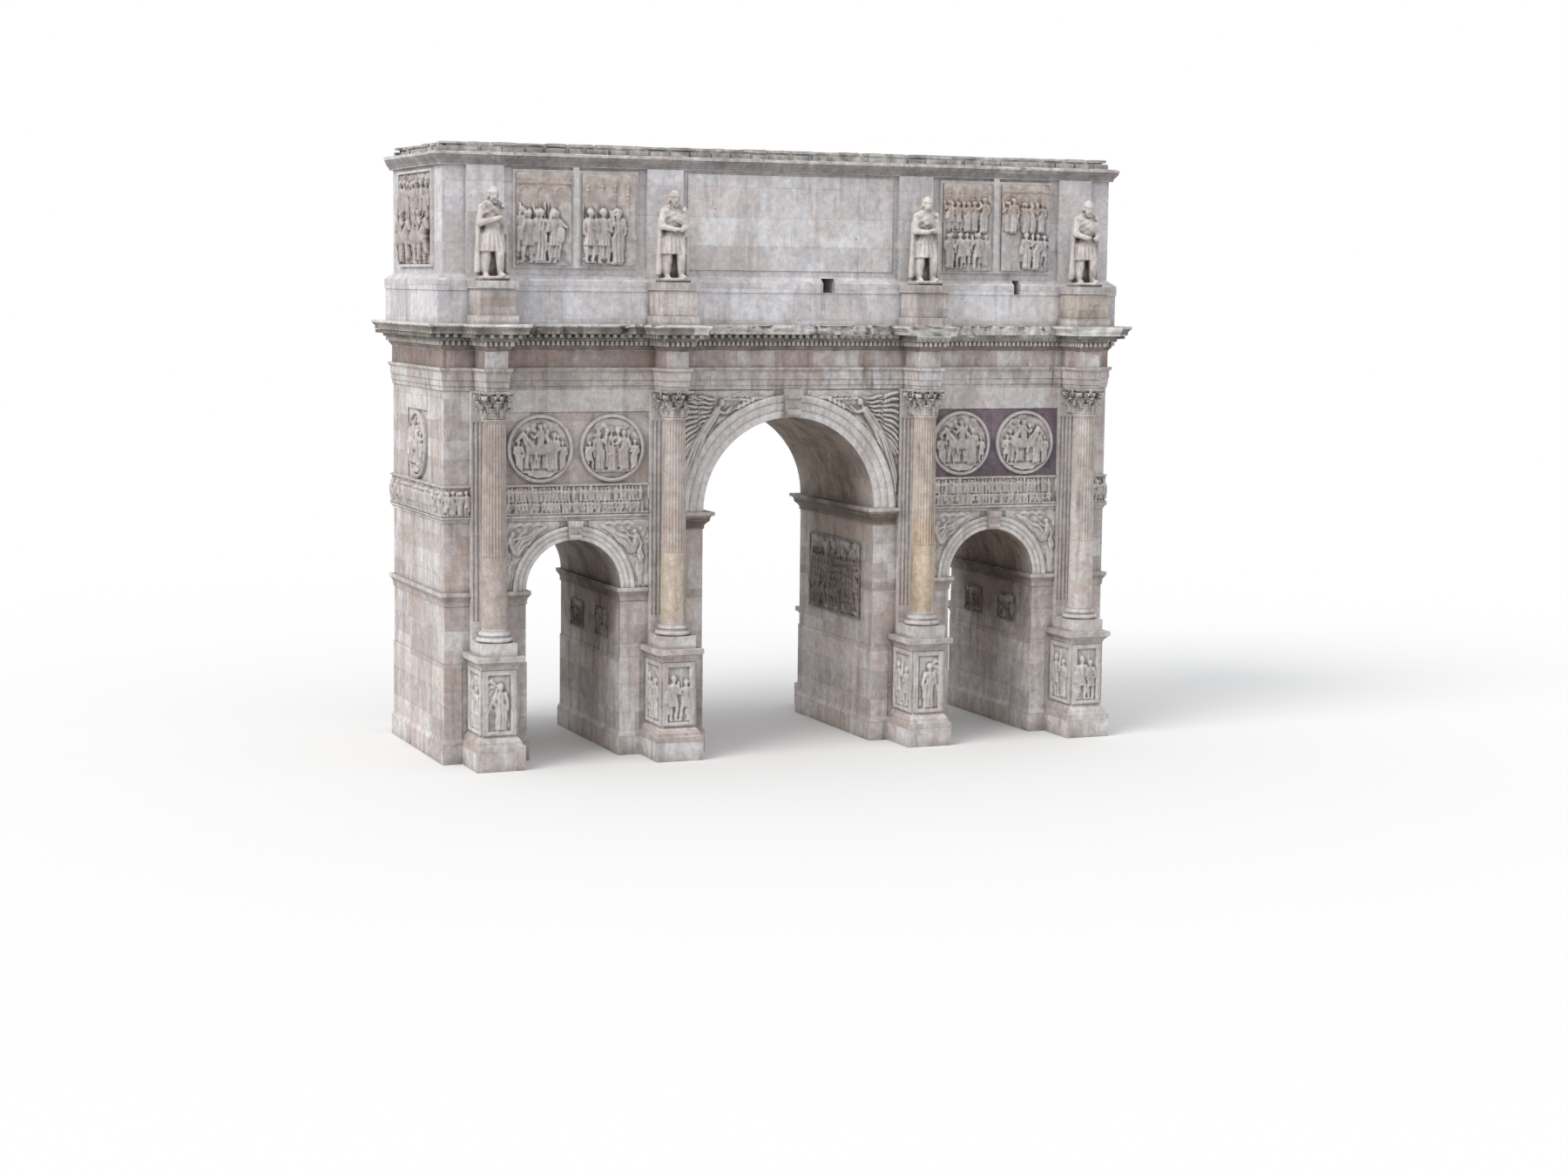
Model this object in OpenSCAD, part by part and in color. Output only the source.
// Triumphal arch of marble with three passages, eight free-standing columns on
// pedestals, a full entablature and a hollow attic storey with standing figures.
// Lengths are in millimetres. X runs along the front, the front faces -Y, Z is up,
// and the origin lies on the ground at the middle of the plan.

/* [Wall body] */
// Length of the wall body along the front
body_w = 25000; // [24600:100:26500]
// Depth of the wall body from front to back
body_d = 6820; // [6200:20:7600]
// Height of the plinth that runs round the foot of the piers
socle_h = 640; // [400:10:900]
// Height of the moulding on top of that plinth
socle_moulding_h = 210; // [100:10:300]
// How far the plinth stands out of the wall
socle_reach = 100; // [40:5:140]
// Height of the ledge where the lower wall is a little thicker
ledge_z = 3390; // [2600:10:3700]
// How much thicker the wall is below the ledge
ledge_reach = 30; // [10:5:60]

/* [Passages] */
// Clear width of the central passage
central_w = 6500; // [6100:50:6700]
// Clear width of each side passage
side_w = 3390; // [3000:10:3700]
// Distance of the side passages from the middle
side_axis = 7950; // [7700:10:8100]
// Gap between the rings of the side arches and the string course
side_crown_gap = 185; // [15:5:220]
// Height of the side imposts
side_impost_h = 450; // [300:10:600]
// How far the side imposts stand out
side_impost_reach = 150; // [80:5:190]
// Height of the central imposts
central_impost_h = 590; // [450:10:700]
// How far the central imposts stand out
central_impost_reach = 330; // [150:10:400]

/* [Arch rings] */
// Width of the ring round the central arch
central_ring_w = 800; // [600:10:820]
// Width of the rings round the side arches
side_ring_w = 480; // [400:10:600]
// How far the rings stand out of the wall
ring_reach = 130; // [80:5:200]
// Width of the central keystone at its top
central_key_w = 620; // [500:10:900]
// Width of the side keystones at their top
side_key_w = 520; // [400:10:700]
// How far the keystones stand out at their top
key_reach = 420; // [250:10:600]

/* [Bands and roundels] */
// Gap between the ring of the central arch and the architrave
crown_gap = 190; // [20:10:400]
// Height of the string course
string_h = 200; // [150:10:230]
// How far the string course stands out
string_reach = 120; // [60:5:180]
// Height of the carved frieze band above the string course
band_h = 1060; // [700:10:1080]
// How far the carved frieze band stands out
band_reach = 60; // [30:5:90]
// Radius of the roundels
roundel_r = 1150; // [900:10:1180]
// Gap between the roundels and the carved frieze band below them
roundel_gap = 60; // [60:5:120]
// Distance between the two roundels of one bay
roundel_pitch = 2560; // [2540:10:2620]
// Thickness of the rim of a roundel
roundel_reach = 150; // [90:5:180]
// Depth of the dish inside the rim of a roundel
roundel_dish = 80; // [40:5:90]
// Width of the roundel's rim
roundel_rim_w = 110; // [60:5:160]
// Thickness of the purple slabs behind the roundels of one bay
slab_t = 30; // [15:5:60]
// Gap between the roundels and the plain slab course above them
bay_slab_gap = 90; // [40:10:200]
// How far that slab course stands out
bay_slab_t = 40; // [20:5:60]
// Width of the sunk panel at each end of the building
end_panel_w = 2760; // [2600:20:3200]
// Depth of that sunk panel
end_panel_depth = 60; // [30:5:90]
// Thickness of the carved panels beside the arches
spandrel_reach = 60; // [30:5:90]

/* [Passage reliefs] */
// Length of the large panels in the central passage
passage_panel_w = 4700; // [3600:50:5200]
// Height of those panels
passage_panel_h = 2800; // [2200:50:3000]
// Distance from those panels up to the central imposts
passage_panel_drop = 750; // [600:50:900]
// Width of the small panels in the side passages
small_panel_w = 1350; // [1000:50:1500]
// Height of the small panels
small_panel_h = 1000; // [900:20:1250]
// Distance of the small panels from the middle of the passage
small_panel_y = 1400; // [1100:50:1700]
// Gap between the small panels and the impost above them
small_panel_drop = 480; // [150:10:600]
// Thickness of the panels
passage_panel_t = 60; // [30:5:100]

/* [Columns] */
// Distance of the outer columns from the middle
col_outer_x = 11060; // [10980:10:11150]
// Distance of the inner columns from the middle
col_inner_x = 4710; // [4680:10:4800]
// Distance of the column axis from the wall
col_reach = 1070; // [1040:10:1200]
// Width of the pedestal's shaft
ped_die_w = 1200; // [1050:10:1250]
// Height of the pedestal's plinth
ped_plinth_h = 830; // [500:10:900]
// Height of the moulding above the pedestal's plinth
ped_base_h = 330; // [300:10:600]
// Height of the pedestal's shaft
ped_die_h = 2240; // [1800:10:2300]
// Height of the pedestal's cap
ped_cap_h = 440; // [300:10:520]
// How far the pedestal's plinth and cap stand out
ped_reach = 240; // [140:10:260]
// Width of the square block below the column base
base_block_w = 1240; // [1200:10:1300]
// Height of that block
base_block_h = 430; // [300:10:500]
// Height of the round column base
base_h = 440; // [350:10:450]
// Height of the shaft
shaft_h = 7010; // [6960:10:7060]
// Diameter at the foot of the shaft
shaft_d = 880; // [840:10:960]
// Diameter at the head of the shaft
shaft_top_d = 790; // [760:10:840]
// Height of the smooth lower part of the shaft
shaft_smooth_h = 2400; // [1500:50:3000]
// Depth of the flutes
flute_depth = 42; // [20:2:60]
// Height of the capital
capital_h = 900; // [870:10:960]
// Width of the capital's top slab from corner to corner of its square
abacus_w = 1180; // [1150:10:1300]
// Width of the flat pilasters behind the columns
pilaster_w = 1100; // [1000:10:1160]
// How far the pilasters stand out of the wall
pilaster_reach = 200; // [195:5:240]

/* [Entablature] */
// Height of the architrave
architrave_h = 760; // [600:10:900]
// Height of the frieze
frieze_h = 580; // [400:10:800]
// Height of the cornice
cornice_h = 900; // [700:10:1100]
// How far the cornice stands out
cornice_reach = 690; // [500:10:760]
// How far the architrave's lowest face stands out of the wall
architrave_reach = 40; // [20:5:60]
// Width of the blocks over the columns
ressaut_w = 740; // [660:10:820]
// How far the face of these blocks stands in front of the column axis
ressaut_front = 390; // [340:10:430]

/* [Attic] */
// Depth of the attic storey
attic_d = 6600; // [6000:20:6700]
// Thickness of the attic walls
attic_wall_t = 1100; // [700:20:1500]
// Height of the attic plinth
attic_plinth_h = 1100; // [1000:10:1300]
// How far the attic plinth stands out
attic_plinth_reach = 240; // [150:10:260]
// Height of the upright band above the attic plinth
attic_band_h = 340; // [300:10:450]
// How far the band stands out
attic_band_reach = 270; // [265:5:320]
// Height of the slope above the band
attic_slope_h = 220; // [150:10:350]
// Height of the attic wall above the slope
attic_wall_h = 3580; // [3500:10:3800]
// Height of the attic cornice
attic_cornice_h = 440; // [350:10:550]
// How far the attic cornice stands out
attic_cornice_reach = 400; // [300:10:500]
// Height of the kerb stones on the roof
kerb_h = 420; // [250:10:500]
// Distance of the kerb stones from the edge of the attic wall
kerb_setback = 60; // [0:10:300]
// Depth of a kerb stone
kerb_t = 700; // [500:10:900]
// Height of the ridge of the low roof above the cornice
roof_rise = 330; // [200:10:400]

/* [Attic openings] */
// Width of the larger opening
hatch_w = 500; // [400:10:700]
// Width of the smaller opening
slit_w = 280; // [250:10:500]
// Distance of the larger opening from the middle
hatch_x = 1370; // [1000:10:2000]
// Distance of the smaller opening from the middle
slit_x = 8720; // [8400:10:9000]
// Height of both openings
hatch_h = 500; // [400:10:530]
// Height of the sill above the attic plinth
hatch_sill = 20; // [10:5:50]

/* [Attic panels] */
// Width of the pilaster strips behind the figures
strip_w = 1300; // [1200:10:1400]
// How far the strips stand out
strip_reach = 150; // [60:10:200]
// Width of each of the paired relief panels
relief_w = 2080; // [1900:10:2100]
// Height of the relief panels
relief_h = 3260; // [2800:10:3320]
// Distance of the panels' lower edge from the slope
relief_sill = 210; // [150:10:300]
// Width of the bar between the two panels of a pair
relief_bar_w = 220; // [150:10:260]
// Thickness of the panels' frames
relief_t = 110; // [80:5:160]
// Width of the panels' frames
relief_rim_w = 80; // [50:5:120]
// Depth of the field inside the frames
relief_dish = 70; // [40:5:75]
// Width of the relief panel at each end of the attic
end_relief_w = 4500; // [3900:50:4800]
// Width of the plain field in the middle
field_w = 7700; // [7000:50:7900]
// Thickness of the plain field's slab
field_t = 40; // [20:5:60]

/* [Figures] */
// Width of the shaft of a figure's pedestal
plinth_die_w = 1210; // [1100:10:1260]
// Height of the base block of that pedestal
plinth_base_h = 290; // [200:10:350]
// Height of the shaft of that pedestal
plinth_die_h = 880; // [800:10:1050]
// Height of the cap slab of that pedestal
plinth_cap_h = 260; // [180:10:300]
// How far the base and the cap stand out
plinth_reach = 80; // [40:5:110]
// How far the pedestal's face stands in front of the column axis
plinth_front = 560; // [500:10:600]
// Height of a figure with its own thin plinth
figure_h = 3200; // [2900:10:3400]
// Width of a figure across the cloak
figure_w = 1150; // [1000:10:1200]

/* [Hidden] */

// Clearance left where curved faces meet
curve_gap = 1;
// Thin overshoot for cutting tools
eps = 10;
// Points on one curved stretch of a moulding
curve_steps = 5;
// Step between the smooth part of a shaft and the ridges of its flutes
shaft_lip = 8;

wall_y = body_d / 2;
central_r = central_w / 2;
side_r = side_w / 2;
central_ring_r = central_r + central_ring_w;
side_ring_r = side_r + side_ring_w;
passage_in = side_axis - side_r;
passage_out = side_axis + side_r;

col_y = wall_y + col_reach;
ped_top = ped_plinth_h + ped_base_h + ped_die_h + ped_cap_h;
base_z = ped_top + base_block_h;
shaft_z = base_z + base_h;
capital_z = shaft_z + shaft_h;
entablature_z = capital_z + capital_h;
frieze_z = entablature_z + architrave_h;
cornice_z = frieze_z + frieze_h;
attic_z = cornice_z + cornice_h;
attic_band_z = attic_z + attic_plinth_h;
attic_slope_z = attic_band_z + attic_band_h;
attic_wall_z = attic_slope_z + attic_slope_h;
attic_cornice_z = attic_wall_z + attic_wall_h;
roof_z = attic_cornice_z + attic_cornice_h;

// The arches hang below the architrave, and what belongs to them follows
string_top = entablature_z - crown_gap - central_ring_r;
side_spring = string_top - string_h - side_crown_gap - side_ring_r;
side_impost_z = side_spring - side_impost_h;
central_impost_z = string_top - central_impost_h;
side_key_top = string_top - string_h - side_spring;
roundel_z = string_top + band_h + roundel_gap + roundel_r;
bay_slab_z = roundel_z + roundel_r + bay_slab_gap;
passage_panel_z = central_impost_z - passage_panel_drop - passage_panel_h;

attic_y = attic_d / 2;
chamber_w = body_w - 2 * attic_wall_t;
chamber_d = attic_d - 2 * attic_wall_t;
ped_y = ped_die_w / 2 + ped_reach;
pilaster_in = col_inner_x + pilaster_w / 2;
pilaster_out = col_outer_x - pilaster_w / 2;
pilaster_end = col_outer_x + pilaster_w / 2;
pilaster_mid = col_inner_x - pilaster_w / 2;
bay_x = (col_inner_x + col_outer_x) / 2;
ressaut_y = col_y + ressaut_front;
plinth_y = col_y + plinth_front;
plinth_z = attic_z + plinth_base_h + plinth_die_h + plinth_cap_h;
figure_y = (plinth_y + attic_y + attic_band_reach) / 2;
cloak_half = figure_w / figure_h * 500 - 24;

// Curved stretches of a moulding from point a to point b, each as [reach, height]
function ovolo(a, b) = [for (i = [0 : curve_steps]) let (t = 90 * i / curve_steps)
    [a[0] + (b[0] - a[0]) * sin(t), a[1] + (b[1] - a[1]) * (1 - cos(t))]];
function cavetto(a, b) = [for (i = [0 : curve_steps]) let (t = 90 * i / curve_steps)
    [a[0] + (b[0] - a[0]) * (1 - cos(t)), a[1] + (b[1] - a[1]) * sin(t)]];
function cyma(a, b) = [for (i = [0 : curve_steps]) let (t = i / curve_steps)
    [a[0] + (b[0] - a[0]) * (1 - cos(180 * t)) / 2, a[1] + (b[1] - a[1]) * t]];

// Outline of a block seen square on, its two edges following a moulding profile
function silhouette(half, profile) = concat(
    [for (p = profile) [half + p[0], p[1]]],
    [for (i = [len(profile) - 1 : -1 : 0]) [-half - profile[i][0], profile[i][1]]]);

// Block with one moulding profile round its four sides, mitred at the corners
module moulded_block(w, d, profile) {
    long = 2 * (w + d);
    intersection() {
        rotate([90, 0, 0])
            linear_extrude(height = long, center = true)
                polygon(silhouette(w / 2, profile));
        rotate([90, 0, 90])
            linear_extrude(height = long, center = true)
                polygon(silhouette(d / 2, profile));
    }
}

// Everything repeated on both sides of the middle
module both_sides() {
    children();
    mirror([1, 0, 0]) children();
}

// Everything repeated on the front and the back
module front_and_back() {
    children();
    mirror([0, 1, 0]) children();
}

// Everything repeated at the four columns of one long side
module at_columns() {
    for (x = [-col_outer_x, -col_inner_x, col_inner_x, col_outer_x])
        translate([x, 0, 0]) children();
}

// Upright box from x0 to x1, y0 to y1 and z0 to z1
module span_box(x0, x1, y0, y1, z0, z1) {
    translate([x0, y0, z0]) cube([x1 - x0, y1 - y0, z1 - z0]);
}

// Space in front of the wall that the pedestals and pilasters take
module column_slots(half, z0, z1) {
    front_and_back() at_columns()
        span_box(-half, half, -wall_y - body_d, -wall_y, z0, z1);
}

// Masonry pier between x0 and x1 with its plinth and ledge
module pier(x0, x1) {
    profile = concat(
        [[socle_reach, 0]],
        cyma([socle_reach, socle_h], [ledge_reach, socle_h + socle_moulding_h]),
        [[ledge_reach, ledge_z], [0, ledge_z], [0, side_impost_z]]);
    difference() {
        translate([(x0 + x1) / 2, 0, 0]) moulded_block(x1 - x0, body_d, profile);
        column_slots(ped_y, -eps, ped_top);
    }
}

// Slab course on which the side vaults spring, with its moulding
module side_impost(x0, x1) {
    h = side_impost_h;
    reach = side_impost_reach;
    profile = concat(
        [[0, 0], [reach * 0.25, 0], [reach * 0.25, h * 0.35]],
        cyma([reach * 0.35, h * 0.4], [reach * 0.85, h * 0.72]),
        [[reach, h * 0.72], [reach, h]]);
    translate([(x0 + x1) / 2, 0, side_impost_z]) moulded_block(x1 - x0, body_d, profile);
}

module side_imposts() {
    color("gainsboro") both_sides() difference() {
        union() {
            side_impost(passage_out, body_w / 2);
            span_box(central_r, passage_in, -wall_y, wall_y, side_impost_z, side_spring);
            intersection() {
                side_impost(central_r, passage_in);
                span_box(col_inner_x, body_w, -body_d, body_d, side_impost_z, side_spring);
            }
        }
        column_slots(pilaster_w / 2, side_impost_z - eps, side_spring + eps);
    }
}

// Wall above the side imposts with the vault of one side passage cut through
module side_arch() {
    color("lightgray") difference() {
        span_box(central_r, body_w / 2, -wall_y, wall_y, side_spring, string_top);
        translate([side_axis, 0, side_spring]) rotate([90, 0, 0])
            cylinder(r = side_r, h = body_d + eps, center = true, $fn = 96);
        span_box(central_r - eps, pilaster_mid, -body_d, body_d,
            central_impost_z, string_top + eps);
    }
}

// Slab course on which the central vault springs, with its moulding
module central_imposts() {
    h = central_impost_h;
    reach = central_impost_reach;
    profile = concat(
        [[0, 0], [reach * 0.12, 0], [reach * 0.12, h * 0.2]],
        cyma([reach * 0.2, h * 0.25], [reach * 0.55, h * 0.5]),
        [[reach * 0.6, h * 0.5], [reach * 0.6, h * 0.66]],
        cavetto([reach * 0.65, h * 0.66], [reach, h * 0.8]),
        [[reach, h]]);
    color("gainsboro") both_sides() difference() {
        translate([(central_r + col_inner_x) / 2, 0, central_impost_z])
            moulded_block(col_inner_x - central_r, body_d, profile);
        span_box(pilaster_mid, body_w, -body_d, body_d,
            central_impost_z - eps, string_top + eps);
    }
}

// Upper wall of one side bay with the sunk panel on the building's end
module upper_wall() {
    color("lightgray") difference() {
        span_box(col_inner_x, body_w / 2, -wall_y, wall_y, string_top, entablature_z);
        end_panel_space(0);
    }
}

// Space of the sunk end panel, smaller than its recess by the gap
module end_panel_space(gap) {
    half_w = end_panel_w / 2 - gap;
    half_h = roundel_r + end_panel_depth - gap;
    span_box(body_w / 2 - end_panel_depth, body_w, -half_w, half_w,
        roundel_z - half_h, roundel_z + half_h);
}

module central_arch() {
    color("lightgray") difference() {
        span_box(-col_inner_x, col_inner_x, -wall_y, wall_y, string_top, entablature_z);
        translate([0, 0, string_top]) rotate([90, 0, 0])
            cylinder(r = central_r, h = body_d + eps, center = true, $fn = 128);
    }
}

// Moulded ring round an arch of radius r, standing out of the front wall
module arch_ring(r, w) {
    profile = concat(
        [[r, 0], [r, ring_reach * 0.4], [r + w * 0.28, ring_reach * 0.4]],
        [[r + w * 0.28, ring_reach * 0.55], [r + w * 0.56, ring_reach * 0.55]],
        [[r + w * 0.56, ring_reach * 0.7], [r + w * 0.7, ring_reach * 0.7]],
        [for (i = [0 : curve_steps]) let (t = 90 * i / curve_steps)
            [r + w * (0.7 + 0.16 * sin(t)), ring_reach * (1 - 0.3 * cos(t))]],
        [[r + w, ring_reach], [r + w, 0]]);
    intersection() {
        rotate([90, 0, 0]) rotate_extrude($fn = 360) polygon(profile);
        translate([-2 * r, -body_d, 0]) cube([4 * r, 2 * body_d, 2 * r + 2 * w]);
    }
}

// Wedge that a keystone fills, seen from the front, its tip at the arch's centre
module key_wedge(top_w, top_r, from_r) {
    slope = top_w / 2 / top_r;
    polygon([[-slope * from_r, from_r], [slope * from_r, from_r],
        [top_w / 2, top_r], [-top_w / 2, top_r]]);
}

module arch_rings() {
    color("whitesmoke") front_and_back() {
        difference() {
            translate([0, -wall_y, string_top]) arch_ring(central_r, central_ring_w);
            translate([0, 0, string_top]) key_cut(central_key_w, entablature_z - string_top);
        }
        both_sides() difference() {
            translate([side_axis, -wall_y, side_spring]) arch_ring(side_r, side_ring_w);
            translate([side_axis, 0, side_spring]) key_cut(side_key_w, side_key_top);
        }
    }
}

module key_cut(top_w, top_r) {
    rotate([90, 0, 0]) linear_extrude(height = 2 * body_d, center = true)
        key_wedge(top_w, top_r, top_r / 4);
}

// Keystone in the shape of a scrolled bracket, with its side view as the profile
module keystone(top_w, top_r, in_r, reach) {
    h = top_r - in_r;
    scroll_r = reach * 0.28;
    intersection() {
        key_cut(top_w, top_r);
        translate([0, -wall_y, 0]) rotate([90, 0, -90])
            linear_extrude(height = 2 * top_w, center = true) difference() {
                union() {
                    polygon(concat(
                        [[0, in_r + curve_gap], [reach * 0.55, in_r + curve_gap]],
                        [[reach * 0.62, in_r + h * 0.25]],
                        cyma([reach * 0.62, in_r + h * 0.3], [reach * 0.85, in_r + h * 0.8]),
                        [[reach, in_r + h * 0.8], [reach, top_r], [0, top_r]]));
                    translate([reach - scroll_r, in_r + h * 0.75]) circle(r = scroll_r, $fn = 32);
                    translate([reach * 0.6, in_r + h * 0.16]) circle(r = h * 0.15, $fn = 32);
                }
                translate([-reach, 0]) square([reach, 2 * top_r]);
            }
    }
}

module keystones() {
    color("white") front_and_back() {
        translate([0, 0, string_top])
            keystone(central_key_w, entablature_z - string_top, central_r, key_reach);
        both_sides() translate([side_axis, 0, side_spring])
            keystone(side_key_w, side_key_top, side_r, key_reach * 0.7);
    }
}

// Ring of one moulding profile round both ends of the wall body, from x0 outwards
module end_wrap(x0, z, profile) {
    both_sides() intersection() {
        difference() {
            translate([0, 0, z]) moulded_block(body_w, body_d, profile);
            span_box(-body_w / 2, body_w / 2, -wall_y, wall_y, z - eps, z + body_d);
        }
        span_box(x0, body_w, -body_d, body_d, z - eps, z + body_d);
    }
}

// The same profile on the long sides between two pilasters, from x0 to x1
module bay_wrap(x0, x1, z, profile) {
    both_sides() difference() {
        intersection() {
            translate([0, 0, z]) moulded_block(body_w, body_d, profile);
            span_box(x0, x1, -body_d, body_d, z - eps, z + body_d);
        }
        span_box(x0 - eps, x1 + eps, -wall_y, wall_y, z - eps, z + body_d);
    }
}

module string_courses() {
    h = string_h;
    reach = string_reach;
    profile = concat(
        [[0, 0], [reach * 0.3, 0], [reach * 0.3, h * 0.3]],
        cyma([reach * 0.4, h * 0.35], [reach * 0.85, h * 0.7]),
        [[reach, h * 0.7], [reach, h], [0, h]]);
    color("gainsboro") {
        end_wrap(pilaster_end, string_top - h, profile);
        bay_wrap(pilaster_in, pilaster_out, string_top - h, profile);
    }
}

module frieze_bands() {
    profile = [[0, 0], [band_reach, 0], [band_reach, band_h], [0, band_h]];
    color("tan") {
        end_wrap(pilaster_end, string_top, profile);
        bay_wrap(pilaster_in, pilaster_out, string_top, profile);
    }
}

// Round relief: a dish inside a moulded rim, its back at y = 0
module roundel() {
    rotate([90, 0, 0]) rotate_extrude($fn = 96) union() {
        square([roundel_r - eps, roundel_reach - roundel_dish]);
        translate([roundel_r - roundel_rim_w, 0])
            square([roundel_rim_w, roundel_reach - roundel_rim_w / 4]);
        translate([roundel_r - roundel_rim_w * 0.6, roundel_reach - roundel_rim_w * 0.35])
            circle(r = roundel_rim_w * 0.35, $fn = 24);
    }
}

module roundels() {
    color("tan") {
        front_and_back() both_sides() for (side = [-1, 1])
            translate([bay_x + side * roundel_pitch / 2, -wall_y, roundel_z]) roundel();
        both_sides() translate([body_w / 2 - end_panel_depth, 0, roundel_z])
            rotate([0, 0, 90]) roundel();
    }
}

// Purple slabs between the roundels, kept on the right bay of the front only
module purple_slabs() {
    color("rosybrown") difference() {
        span_box(pilaster_in, pilaster_out, -wall_y - slab_t, -wall_y,
            string_top + band_h, bay_slab_z);
        for (side = [-1, 1])
            translate([bay_x + side * roundel_pitch / 2, -wall_y, roundel_z]) rotate([90, 0, 0])
                cylinder(r = roundel_r + curve_gap, h = 4 * slab_t, center = true, $fn = 96);
    }
}

// Carved panels that fill the corners above an arch, from x0 to x1 and z0 to z1
module spandrels(x0, x1, z0, z1, ring_r, key_half) {
    rotate([90, 0, 0]) linear_extrude(height = spandrel_reach) difference() {
        translate([x0, z0]) square([x1 - x0, z1 - z0]);
        circle(r = ring_r + curve_gap, $fn = 128);
        translate([-key_half, 0]) square([2 * key_half, 2 * z1]);
    }
}

module spandrel_reliefs() {
    color("silver") front_and_back() translate([0, -wall_y, 0]) {
        translate([0, 0, string_top])
            spandrels(-pilaster_mid, pilaster_mid, 0, central_ring_r + eps,
                central_ring_r, central_key_w);
        both_sides() translate([side_axis, 0, side_spring])
            spandrels(pilaster_in - side_axis, pilaster_out - side_axis, 0, side_key_top - eps,
                side_ring_r, side_key_w);
    }
}

// Framed panel standing on the plane y = 0, its middle on the axis and its foot at z = 0
module framed_panel(w, h, t, rim, dish) {
    difference() {
        span_box(-w / 2, w / 2, -t, 0, 0, h);
        span_box(rim - w / 2, w / 2 - rim, -t - dish, dish - t, rim, h - rim);
    }
}

module passage_reliefs() {
    t = passage_panel_t;
    color("dimgray") both_sides() {
        translate([central_r, 0, passage_panel_z]) rotate([0, 0, -90])
            framed_panel(passage_panel_w, passage_panel_h, t, t, t / 2);
        front_and_back() for (wall = [[passage_in, 90], [passage_out, -90]])
            translate([wall[0], -small_panel_y, side_impost_z - small_panel_drop - small_panel_h])
                rotate([0, 0, wall[1]])
                    framed_panel(small_panel_w, small_panel_h, t, t, t / 2);
    }
}

// Pedestal of a column, standing against the wall
module pedestal() {
    cap_z = ped_top - ped_cap_h;
    die_z = ped_plinth_h + ped_base_h;
    profile = concat(
        [[ped_reach, 0], [ped_reach, ped_plinth_h]],
        ovolo([ped_reach * 0.8, ped_plinth_h], [ped_reach * 0.6, ped_plinth_h + ped_base_h * 0.4]),
        cyma([ped_reach * 0.5, ped_plinth_h + ped_base_h * 0.45], [0, die_z]),
        [[0, cap_z], [ped_reach * 0.15, cap_z], [ped_reach * 0.15, cap_z + ped_cap_h * 0.15]],
        cyma([ped_reach * 0.2, cap_z + ped_cap_h * 0.2], [ped_reach * 0.75, cap_z + ped_cap_h * 0.6]),
        [[ped_reach, cap_z + ped_cap_h * 0.6], [ped_reach, ped_top]]);
    translate([0, -col_y, 0]) intersection() {
        moulded_block(ped_die_w, ped_die_w, profile);
        span_box(-col_y, col_y, -col_y, 0, 0, ped_top);
    }
    pedestal_tail(profile);
}

// The same mouldings carried back from the column axis to the wall
module pedestal_tail(profile) {
    translate([0, -wall_y, 0]) rotate([90, 0, 0])
        linear_extrude(height = col_reach) polygon(silhouette(ped_die_w / 2, profile));
}

module pedestals() {
    color("gainsboro") front_and_back() at_columns() pedestal();
}

// Flat fluted pilaster on the wall behind a column, with its base and plain capital
module pilaster() {
    flutes = 7;
    pitch = pilaster_w / (flutes + 0.5);
    groove_r = pitch * 0.36;
    translate([0, -wall_y, 0]) {
        difference() {
            span_box(-pilaster_w / 2, pilaster_w / 2, -pilaster_reach, 0, ped_top, entablature_z);
            for (i = [0 : flutes - 1])
                translate([(i - (flutes - 1) / 2) * pitch, -pilaster_reach, shaft_z + pitch])
                    cylinder(r = groove_r, h = shaft_h - 2 * pitch, $fn = 24);
        }
        span_box(-pilaster_w / 2, pilaster_w / 2, -pilaster_reach * 1.5, -pilaster_reach,
            ped_top, base_z);
        span_box(-pilaster_w / 2, pilaster_w / 2, -pilaster_reach * 1.25, -pilaster_reach,
            base_z, base_z + base_h * 0.4);
    }
}

module pilasters() {
    color("lightgray") front_and_back() at_columns() pilaster();
}

// Square block and round base below a column
module column_base() {
    low_r = base_h * 0.2;
    high_r = base_h * 0.14;
    shaft_r = shaft_d / 2;
    foot_r = base_block_w / 2 - low_r;
    translate([0, 0, ped_top])
        span_box(-base_block_w / 2, base_block_w / 2, -base_block_w / 2, base_block_w / 2,
            0, base_block_h);
    translate([0, 0, base_z]) rotate_extrude($fn = 64) union() {
        square([shaft_r, base_h]);
        square([foot_r, 2 * low_r]);
        translate([foot_r, low_r]) circle(r = low_r, $fn = 32);
        square([shaft_r + high_r, base_h - high_r]);
        translate([0, base_h * 0.62 - high_r]) square([shaft_r + high_r / 2, 2 * high_r]);
        translate([shaft_r + high_r / 2, base_h * 0.62]) circle(r = high_r, $fn = 32);
    }
}

module column_bases() {
    color("white") front_and_back() at_columns() translate([0, -col_y, 0]) column_base();
}

// Plan of a fluted shaft: 24 hollow flutes with narrow flat ridges between them
function fluted_plan(r, depth) = [for (i = [0 : 23]) for (p = [[-0.12, 0], [0.12, 0],
    [0.36, 0.8], [0.64, 0.8]]) let (a = 15 * (i + p[0]), q = r - depth * p[1])
    [q * cos(a), q * sin(a)]];

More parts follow.
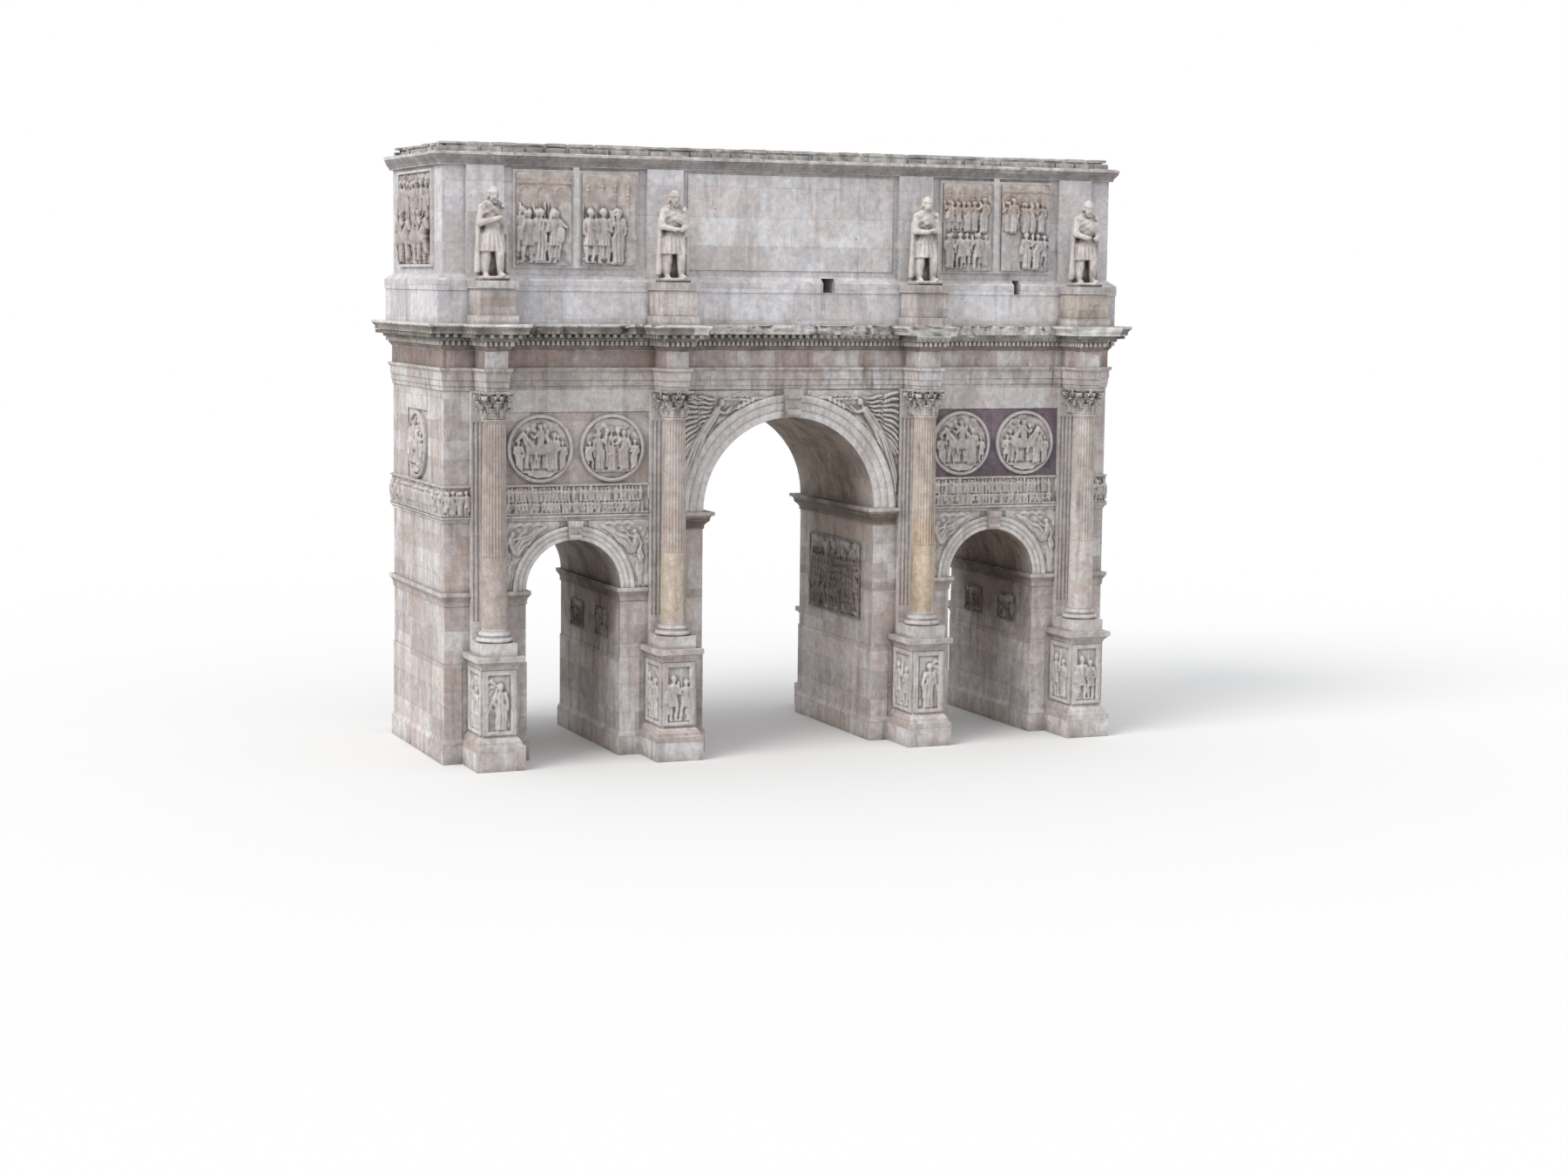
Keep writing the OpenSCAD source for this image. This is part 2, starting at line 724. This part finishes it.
// Tapered shaft, smooth below and fluted above, with a ring at its head
module shaft() {
    foot_r = shaft_d / 2;
    head_r = shaft_top_d / 2;
    mid_r = foot_r - (foot_r - head_r) * shaft_smooth_h / shaft_h * 0.6;
    ring_h = 60;
    fluted_r = mid_r - shaft_lip;
    translate([0, 0, shaft_z]) {
        cylinder(r1 = foot_r, r2 = mid_r, h = shaft_smooth_h, $fn = 64);
        translate([0, 0, shaft_smooth_h - eps])
            linear_extrude(height = shaft_h - shaft_smooth_h - 2 * ring_h + 2 * eps,
                scale = (head_r - shaft_lip) / fluted_r)
                polygon(fluted_plan(fluted_r, flute_depth));
        translate([0, 0, shaft_h - 2 * ring_h]) cylinder(r = head_r, h = ring_h, $fn = 64);
        translate([0, 0, shaft_h - ring_h]) cylinder(r = head_r + ring_h / 2, h = ring_h, $fn = 64);
    }
}

module column_shafts() {
    color("burlywood") at_columns() translate([0, -col_y, 0]) shaft();
}

// One leaf of a capital: a curled side view trimmed by a pointed front view
module leaf(r, h, w) {
    t = h * 0.12;
    curl = h * 0.2;
    intersection() {
        rotate([90, 0, 0]) linear_extrude(height = w, center = true) union() {
            polygon(concat(
                [[r - t, 0], [r + t, 0]],
                [for (i = [0 : curve_steps]) let (s = i / curve_steps)
                    [r + t + curl * s * s, h * (0.2 + 0.65 * s)]],
                [[r - t, h * 0.85]]));
            translate([r + curl, h * 0.85]) circle(r = t, $fn = 24);
            translate([r - t, h * 0.85]) square([curl + t, t]);
        }
        rotate([90, 0, 90]) linear_extrude(height = 2 * r) polygon([
            [-w * 0.4, 0], [w * 0.4, 0], [w * 0.5, h * 0.45], [w * 0.42, h * 0.8],
            [w * 0.2, h], [-w * 0.2, h], [-w * 0.42, h * 0.8], [-w * 0.5, h * 0.45]]);
    }
}

// Capital with a bell, two rows of leaves, corner scrolls and a slab with hollow sides
module capital() {
    bell_r = shaft_top_d / 2 - flute_depth;
    abacus_h = capital_h * 0.15;
    bell_h = capital_h - abacus_h;
    hollow_r = abacus_w * 1.5;
    hollow_depth = abacus_w * 0.1;
    scroll_r = capital_h * 0.11;
    scroll_w = capital_h * 0.16;
    scroll_at = abacus_w * 0.56;
    rotate_extrude($fn = 64) polygon(concat(
        [[0, 0], [bell_r, 0]],
        cavetto([bell_r, bell_h * 0.4], [bell_r * 1.3, bell_h]),
        [[0, bell_h]]));
    translate([0, 0, bell_h]) linear_extrude(height = abacus_h) intersection() {
        difference() {
            square([abacus_w, abacus_w], center = true);
            for (a = [0 : 90 : 270]) rotate(a)
                translate([abacus_w / 2 + hollow_r - hollow_depth, 0]) circle(r = hollow_r, $fn = 128);
        }
        rotate(45) square([abacus_w * 1.3, abacus_w * 1.3], center = true);
    }
    for (i = [0 : 7]) {
        rotate([0, 0, i * 45 + 22.5]) leaf(bell_r, bell_h * 0.45, bell_r * 0.72);
        rotate([0, 0, i * 45]) leaf(bell_r * 1.02, bell_h * 0.8, bell_r * 0.6);
    }
    for (a = [45 : 90 : 315]) rotate([0, 0, a]) {
        translate([scroll_at, 0, bell_h - scroll_r]) rotate([90, 0, 0])
            cylinder(r = scroll_r, h = scroll_w, center = true, $fn = 32);
        span_box(bell_r, scroll_at, -scroll_w / 3, scroll_w / 3, bell_h - scroll_r, bell_h);
    }
    for (a = [0 : 90 : 270]) rotate([0, 0, a])
        translate([abacus_w / 2 - hollow_depth, 0, bell_h + abacus_h / 2]) rotate([0, 90, 0])
            cylinder(r = abacus_h / 2, h = hollow_depth, center = true, $fn = 32);
}

module capitals() {
    color("darkgray") at_columns() translate([0, -col_y, capital_z]) capital();
}

// One course of the entablature, broken forward over every column
module course(z, profile) {
    translate([0, 0, z]) {
        moulded_block(body_w, body_d, profile);
        at_columns() moulded_block(ressaut_w - 2 * architrave_reach,
            2 * ressaut_y - 2 * architrave_reach, profile);
    }
}

module architrave() {
    h = architrave_h;
    a = architrave_reach;
    step = 25;
    color("whitesmoke") course(entablature_z, concat(
        [[a, 0], [a, h * 0.2], [a + step, h * 0.2], [a + step, h * 0.46],
         [a + 2 * step, h * 0.46], [a + 2 * step, h * 0.78]],
        cyma([a + 2.4 * step, h * 0.8], [a + 5 * step, h * 0.92]),
        [[a + 5 * step, h]]));
}

module frieze() {
    color("gray") course(frieze_z, [[architrave_reach, 0], [architrave_reach, frieze_h]]);
}

module cornice() {
    h = cornice_h;
    r = cornice_reach;
    color("dimgray") course(cornice_z, concat(
        [[r * 0.08, 0]],
        cyma([r * 0.08, h * 0.02], [r * 0.17, h * 0.12]),
        [[r * 0.2, h * 0.14], [r * 0.2, h * 0.37], [r * 0.33, h * 0.37]],
        ovolo([r * 0.33, h * 0.38], [r * 0.42, h * 0.48]),
        [[r * 0.45, h * 0.5], [r * 0.45, h * 0.62], [r * 0.84, h * 0.64], [r * 0.84, h * 0.78]],
        cyma([r * 0.87, h * 0.79], [r, h * 0.95]),
        [[r, h]]));
}

// Attic masonry as one block: plinth, band, slope and wall
module attic_block() {
    translate([0, 0, attic_z]) moulded_block(body_w, attic_d, [
        [attic_plinth_reach, 0], [attic_plinth_reach, attic_plinth_h],
        [attic_band_reach, attic_plinth_h], [attic_band_reach, attic_slope_z - attic_z],
        [0, attic_wall_z - attic_z], [0, attic_cornice_z - attic_z]]);
}

// Part of the attic block on one long side, over the full length
module attic_long_wall() {
    intersection() {
        attic_block();
        span_box(-body_w, body_w, -body_d, -chamber_d / 2, attic_z, attic_cornice_z);
    }
}

// Part of the attic block on one end, between the two long walls
module attic_end_wall() {
    intersection() {
        attic_block();
        span_box(chamber_w / 2, body_w, -chamber_d / 2, chamber_d / 2, attic_z, attic_cornice_z);
    }
}

// The two small openings through the band
module attic_holes() {
    sill = attic_band_z + hatch_sill;
    for (hole = [[hatch_x, hatch_w], [slit_x, slit_w]])
        span_box(hole[0] - hole[1] / 2, hole[0] + hole[1] / 2, -body_d, 0, sill, sill + hatch_h);
}

module attic_front_wall() {
    color("ghostwhite") difference() {
        attic_long_wall();
        attic_holes();
    }
}

module attic_back_wall() {
    color("ghostwhite") mirror([0, 1, 0]) attic_long_wall();
}

module attic_left_wall() {
    color("ghostwhite") mirror([1, 0, 0]) attic_end_wall();
}

module attic_right_wall() {
    color("ghostwhite") attic_end_wall();
}

// Pilaster strips behind the figures, standing on the slope
module attic_strips() {
    foot = attic_wall_z - attic_slope_h * strip_reach / attic_band_reach;
    color("white") front_and_back() at_columns()
        translate([-strip_w / 2, -attic_y, 0]) rotate([90, 0, 90])
            linear_extrude(height = strip_w) polygon([
                [0, attic_wall_z], [-strip_reach, foot],
                [-strip_reach, attic_cornice_z], [0, attic_cornice_z]]);
}

module attic_reliefs() {
    z = attic_wall_z + relief_sill;
    color("lightgray") {
        front_and_back() both_sides() for (side = [-1, 1])
            translate([bay_x + side * (relief_w + relief_bar_w) / 2, -attic_y, z])
                framed_panel(relief_w, relief_h, relief_t, relief_rim_w, relief_dish);
        front_and_back() both_sides()
            translate([bay_x, -attic_y, z])
                span_box(-relief_bar_w / 2 + curve_gap, relief_bar_w / 2 - curve_gap,
                    -relief_t * 1.2, 0, 0, attic_cornice_z - z);
        both_sides() translate([body_w / 2, 0, z]) rotate([0, 0, 90])
            framed_panel(end_relief_w, relief_h, relief_t, relief_rim_w, relief_dish);
    }
}

// Bare slabs: the middle field of the attic and the courses over the side bays
module plain_fields() {
    color("ghostwhite") front_and_back() {
        span_box(-field_w / 2, field_w / 2, -attic_y - field_t, -attic_y,
            attic_wall_z + relief_sill, attic_wall_z + relief_sill + relief_h);
        both_sides() span_box(pilaster_in, pilaster_out, -wall_y - bay_slab_t, -wall_y,
            bay_slab_z, entablature_z);
    }
}

// Pedestal of one attic figure, standing on the cornice against the attic
module figure_pedestal() {
    back = attic_y + attic_band_reach;
    half = plinth_die_w / 2;
    die_z = attic_z + plinth_base_h;
    cap_z = die_z + plinth_die_h;
    wide = half + plinth_reach;
    span_box(-wide, wide, -plinth_y, -back, attic_z, die_z);
    span_box(-half, half, plinth_reach - plinth_y, -back, die_z, cap_z);
    span_box(-wide, wide, -plinth_y, -back, cap_z, plinth_z);
}

module figure_pedestals() {
    color("gainsboro") front_and_back() at_columns() figure_pedestal();
}

// Ellipsoid-like ball for the figures, of radius r and few faces
module knob(x, y, z, r) {
    translate([x, y, z]) sphere(r = r, $fn = 8);
}

// Limb between two balls
module limb(a, ra, b, rb) {
    hull() {
        knob(a[0], a[1], a[2], ra);
        knob(b[0], b[1], b[2], rb);
    }
}

// Standing captive in tunic, trousers, soft cap and long cloak, of height 1000 and
// facing -Y; the hands are held at the given points and the head leans by tilt
module captive(left_hand, right_hand, tilt) {
    span_box(-170, 170, -140, 150, 0, 40);
    limb([-70, -15, 70], 38, [-62, 0, 330], 58);
    limb([72, -45, 70], 38, [62, -5, 330], 58);
    limb([-72, -70, 55], 26, [-70, -10, 60], 34);
    limb([78, -100, 55], 26, [72, -40, 60], 34);
    hull() {
        knob(-88, 5, 300, 62);
        knob(88, -5, 300, 62);
        knob(-55, 0, 520, 60);
        knob(55, 0, 520, 60);
    }
    hull() {
        knob(-55, 0, 520, 62);
        knob(55, 0, 520, 62);
        knob(-95, 5, 740, 60);
        knob(95, 5, 740, 60);
    }
    hull() {
        knob(-120, 60, 770, 40);
        knob(120, 60, 770, 40);
        knob(-cloak_half, 90, 80, 34);
        knob(cloak_half, 90, 80, 34);
    }
    hull() {
        knob(-120, 0, 765, 45);
        knob(120, 0, 765, 45);
        knob(0, 5, 820, 50);
    }
    for (arm = [[-1, left_hand], [1, right_hand]]) {
        elbow = [arm[0] * 160, -20, 585];
        limb([arm[0] * 142, 10, 750], 46, elbow, 42);
        limb(elbow, 40, arm[1], 30);
    }
    translate([0, 0, 820]) rotate([tilt, 0, 0]) {
        limb([0, 0, 0], 38, [0, -10, 90], 56);
        limb([0, -35, 35], 36, [0, -45, 60], 40);
        limb([0, 5, 105], 58, [0, -25, 148], 26);
    }
}

module figures() {
    poses = [
        [[20, -150, 640], [-90, -130, 760], 12],
        [[-30, -140, 560], [40, -150, 545], 4],
        [[-40, -140, 575], [30, -140, 590], 6],
        [[-60, -150, 540], [60, -150, 530], 18]];
    xs = [-col_outer_x, -col_inner_x, col_inner_x, col_outer_x];
    color("antiquewhite") for (i = [0 : 3])
        translate([xs[i], -figure_y, plinth_z]) scale(figure_h / 1000)
            captive(poses[i][0], poses[i][1], poses[i][2]);
}

module attic_cornice() {
    h = attic_cornice_h;
    r = attic_cornice_reach;
    color("gainsboro") translate([0, 0, attic_cornice_z]) moulded_block(body_w, attic_d, concat(
        [[r * 0.3, 0], [r * 0.3, h * 0.16]],
        cyma([r * 0.35, h * 0.2], [r * 0.9, h * 0.72]),
        [[r, h * 0.74], [r, h]]));
}

// Low roof that slopes from the kerbs to a ridge
module attic_roof() {
    inset = kerb_setback + kerb_t;
    half = attic_y - inset;
    color("gray") translate([0, 0, roof_z])
        moulded_block(body_w - 2 * inset, attic_d - 2 * inset,
            [[0, 0], [0, roof_rise * 0.4], [-half * 0.95, roof_rise]]);
}

// Kerb stones round the roof, as one strip on each side
module roof_kerbs() {
    x1 = body_w / 2 - kerb_setback;
    y1 = attic_y - kerb_setback;
    color("darkgray") translate([0, 0, roof_z]) {
        front_and_back() span_box(-x1, x1, -y1, kerb_t - y1, 0, kerb_h);
        both_sides() span_box(x1 - kerb_t, x1, kerb_t - y1 + curve_gap, y1 - kerb_t - curve_gap,
            0, kerb_h);
    }
}

color("silver") pier(-body_w / 2, -passage_out);  // pier_outer_left
color("silver") pier(-passage_in, -central_r);  // pier_inner_left
color("silver") pier(central_r, passage_in);  // pier_inner_right
color("silver") pier(passage_out, body_w / 2);  // pier_outer_right
side_imposts();
mirror([1, 0, 0]) side_arch();  // side_arch_left
side_arch();  // side_arch_right
central_imposts();
mirror([1, 0, 0]) upper_wall();  // upper_wall_left
central_arch();
upper_wall();  // upper_wall_right
arch_rings();
keystones();
string_courses();
frieze_bands();
roundels();
purple_slabs();
spandrel_reliefs();
passage_reliefs();
pedestals();
pilasters();
column_bases();
column_shafts();  // column_shafts_front
mirror([0, 1, 0]) column_shafts();  // column_shafts_back
capitals();  // capitals_front
mirror([0, 1, 0]) capitals();  // capitals_back
architrave();
frieze();
cornice();
attic_front_wall();
attic_back_wall();
attic_left_wall();
attic_right_wall();
attic_strips();
attic_reliefs();
plain_fields();
figure_pedestals();
figures();  // figures_front
mirror([0, 1, 0]) figures();  // figures_back
attic_cornice();
attic_roof();
roof_kerbs();
